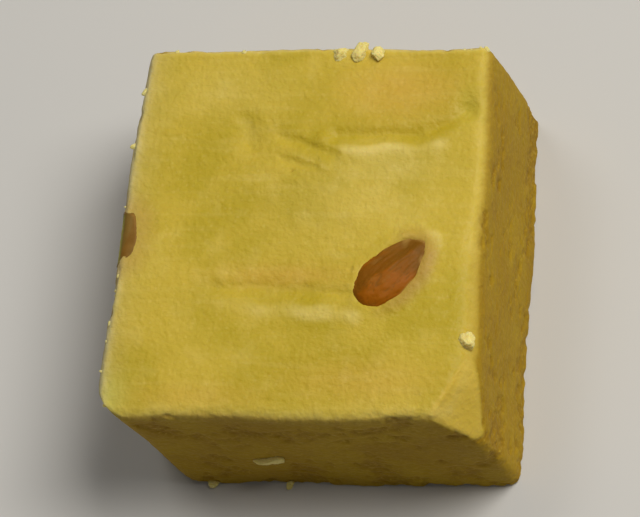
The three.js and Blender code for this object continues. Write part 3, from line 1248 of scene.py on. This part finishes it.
def shape_kernel(paste, kernel, cut_flush):
    """A kernel with its seam, its lengthwise wrinkles and the values that its finish reads."""
    mesh = bmesh.new()
    bmesh.ops.create_icosphere(mesh, subdivisions=KERNEL_DETAIL, radius=1.0)
    layers = [mesh.verts.layers.float.new(name) for name in KERNEL_VALUES]
    turn = kernel_turn(kernel)
    for vert in mesh.verts:
        unit = vert.co.copy()
        girth = max(math.hypot(unit.y, unit.z), 1e-6)
        relief, crease, bulk = skin_relief(unit)
        fullness = girth ** (KERNEL_BLUNTNESS - 1) * (1 - KERNEL_TAPER * unit.x) * (1 + relief)
        shaped = Vector((unit.x * (1 + BULK_LENGTH * bulk), unit.y * fullness, unit.z * fullness))
        shaped = Vector([c * s / 2 for c, s in zip(shaped, kernel.size)])
        point = turn @ shaped + kernel.middle
        flesh = 0.0
        split = 0.0
        film = paste_film(paste, unit, point)
        if cut_flush:
            point, flesh, split, film = shave(paste, point, shaped)
        vert.co = point
        along = unit.x * 0.5 + 0.5
        for layer, value in zip(layers, (along, kernel.dullness, crease, flesh, split, film)):
            vert[layer] = clamp(value, 0.0, 1.0)
    mesh.normal_update()
    return mesh


def socket_of(paste, kernel):
    """The surface that the paste closes round: the kernel as it was before the knife went through it."""
    uncut = shape_kernel(paste, kernel, False)
    surface = BVHTree.FromBMesh(uncut)
    uncut.free()
    return Socket(kernel, surface, kernel_turn(kernel).transposed())


def add_crumb(mesh, crumb, detail, seed):
    """Adds one crumb, a lump broken on many sides, to the mesh."""
    draw = random.Random(seed)
    turn = Matrix.Rotation(crumb.turn, 3, "Z")
    made = bmesh.ops.create_icosphere(mesh, subdivisions=detail, radius=1.0)
    breaks = []
    for _ in range(CRUMB_BREAKS):
        side = Vector([draw.gauss(0, 1) for _ in range(3)]).normalized()
        breaks.append((side, draw.uniform(*CRUMB_BREAK_REACH)))
    shift = Vector([draw.uniform(0, CRUMB_SHIFT) for _ in range(3)])
    for vert in made["verts"]:
        unit = vert.co.copy()
        reach = min(far / max(unit.dot(side), CRUMB_BREAK_SLANT) for side, far in breaks)
        reach = min(reach, CRUMB_REACH)
        for turns, swing in CRUMB_LUMPS.items():
            reach += swing * noise.noise(unit * turns + shift)
        vert.co = turn @ Vector([c * s / 2 for c, s in zip(unit * reach, crumb.size)]) + crumb.middle


def on_rim(vert, wear_and_highlight):
    """Whether a small crumb may stick to the block at this point."""
    upright = vert.normal.z > SPECK_SLANT
    return wear_and_highlight > SPECK_WEAR and upright and vert.co.z > SPECK_LEVEL


def small_crumbs(block, count):
    """Small crumbs at seeded places on the block's rims, each sunk a little into the paste."""
    draw = random.Random(SPECK_SEED)
    wear_and_highlight = block.data.attributes["rim"].data
    rims = [vert for vert in block.data.vertices if on_rim(vert, wear_and_highlight[vert.index].value)]
    crumbs = []
    for _ in range(count):
        vert = draw.choice(rims)
        width = mix(*SPECK_WIDTHS, draw.random() ** 2)
        long = width * draw.uniform(*SPECK_LENGTHS)
        tall = width * draw.uniform(*SPECK_HEIGHTS)
        middle = vert.co - vert.normal * width * SPECK_SINK
        crumbs.append(Crumb(middle, Vector((long, width, tall)), draw.uniform(0, math.pi)))
    return crumbs


class BARFI_OT_block(bpy.types.Operator):
    """Models the block of paste over its solid"""

    bl_idname = "barfi.block"
    bl_label = "Block of Paste"

    def execute(self, context):
        paste = context.scene.barfi_paste
        block = finished(knead_block(paste), "barfi_paste_block", paste_finish(paste))
        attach(block, "root")
        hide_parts("barfi_block")
        return {"FINISHED"}


class BARFI_OT_kernels(bpy.types.Operator):
    """Models the pistachio kernels over their solids"""

    bl_idname = "barfi.kernels"
    bl_label = "Pistachio Kernels"

    def execute(self, context):
        paste = context.scene.barfi_paste
        material = kernel_finish(context.scene.barfi_kernels, paste)
        for kernel in KERNELS:
            mesh = shape_kernel(paste, kernel, kernel.cut_flush)
            piece = finished(mesh, kernel.name + "_kernel", material)
            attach(piece, "root")
            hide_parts(kernel.name)
        return {"FINISHED"}


class BARFI_OT_crumbs(bpy.types.Operator):
    """Models the crumbs that stick to the block"""

    bl_idname = "barfi.crumbs"
    bl_label = "Crumbs"

    def execute(self, context):
        block = bpy.data.objects.get("barfi_paste_block")
        if block is None:
            raise RuntimeError("the block of paste has to be made before its crumbs")
        mesh = bmesh.new()
        for seed, crumb in enumerate(CRUMBS):
            add_crumb(mesh, crumb, CRUMB_DETAIL, seed)
        for seed, crumb in enumerate(small_crumbs(block, context.scene.barfi_paste.crumbs)):
            add_crumb(mesh, crumb, SPECK_DETAIL, seed + len(CRUMBS))
        crumbs = finished(mesh, "barfi_crumbs", crumb_finish(context.scene.barfi_paste))
        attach(crumbs, "root")
        return {"FINISHED"}


def soft_light(lamp, strength):
    """A square soft light that looks at the block."""
    data = bpy.data.lights.new(lamp.name + "_light", "AREA")
    data.shape = "SQUARE"
    data.size = lamp.width
    data.energy = strength
    data.color = lamp.tint
    light = bpy.data.objects.new(lamp.name + "_light", data)
    light.location = lamp.place
    light.rotation_euler = (-lamp.place).to_track_quat("-Z", "Y").to_euler()
    bpy.context.scene.collection.objects.link(light)


def studio_world():
    """Faint even light from all round."""
    world = bpy.data.worlds.new("studio")
    world.use_nodes = True
    background = world.node_tree.nodes["Background"]
    background.inputs["Color"].default_value = opaque(WORLD_TINT)
    background.inputs["Strength"].default_value = WORLD_STRENGTH
    return world


def aimed_camera(stage):
    """A camera that looks at the block from the stage's azimuth and elevation."""
    lens = bpy.data.cameras.new("camera")
    lens.lens = stage.lens
    camera = bpy.data.objects.new("camera", lens)
    level = math.cos(stage.elevation)
    back = Vector((
        level * math.sin(stage.azimuth),
        -level * math.cos(stage.azimuth),
        math.sin(stage.elevation),
    ))
    right = (Vector((1, 0, 0)) - back * back.x).normalized()
    up = back.cross(right)
    turned = Matrix((right, up, back)).transposed().to_4x4()
    camera.matrix_world = Matrix.Translation(AIM + back * stage.distance) @ turned
    return camera


class BARFI_OT_stage(bpy.types.Operator):
    """Sets up the pale floor, the soft lights and the camera"""

    bl_idname = "barfi.stage"
    bl_label = "Stage"

    def execute(self, context):
        scene = context.scene
        stage = scene.barfi_stage
        mesh = bmesh.new()
        bmesh.ops.create_grid(mesh, x_segments=FLOOR_CELLS, y_segments=FLOOR_CELLS, size=FLOOR_HALF)
        floor = finished(mesh, "floor", floor_finish(stage))
        for lamp in LAMPS:
            soft_light(lamp, getattr(stage, lamp.name))
        scene.world = studio_world()
        scene.view_settings.view_transform = "Standard"
        scene.camera = aimed_camera(stage)
        scene.collection.objects.link(scene.camera)
        return {"FINISHED"}


class VIEW3D_PT_barfi(bpy.types.Panel):
    """Lists the operators and the sizes and colours that they use"""

    bl_label = "Pistachio Barfi"
    bl_idname = "VIEW3D_PT_barfi"
    bl_space_type = "VIEW_3D"
    bl_region_type = "UI"
    bl_category = "Barfi"

    def draw(self, context):
        for operator in OPERATORS:
            self.layout.operator(operator.bl_idname)
        for pointer, group in SETTINGS.items():
            box = self.layout.box()
            for name in group.__annotations__:
                box.prop(getattr(context.scene, pointer), name)


SETTINGS = {"barfi_paste": BarfiPaste, "barfi_kernels": BarfiKernels, "barfi_stage": BarfiStage}
OPERATORS = (BARFI_OT_block, BARFI_OT_kernels, BARFI_OT_crumbs, BARFI_OT_stage)
CLASSES = (*SETTINGS.values(), *OPERATORS, VIEW3D_PT_barfi)


def register():
    for cls in CLASSES:
        bpy.utils.register_class(cls)
    for pointer, group in SETTINGS.items():
        setattr(bpy.types.Scene, pointer, PointerProperty(type=group))


def unregister():
    for pointer in SETTINGS:
        delattr(bpy.types.Scene, pointer)
    for cls in reversed(CLASSES):
        bpy.utils.unregister_class(cls)


def main():
    register()
    bpy.ops.barfi.block()
    bpy.ops.barfi.kernels()
    bpy.ops.barfi.crumbs()
    bpy.ops.barfi.stage()
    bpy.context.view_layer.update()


if __name__ == "__main__":
    main()
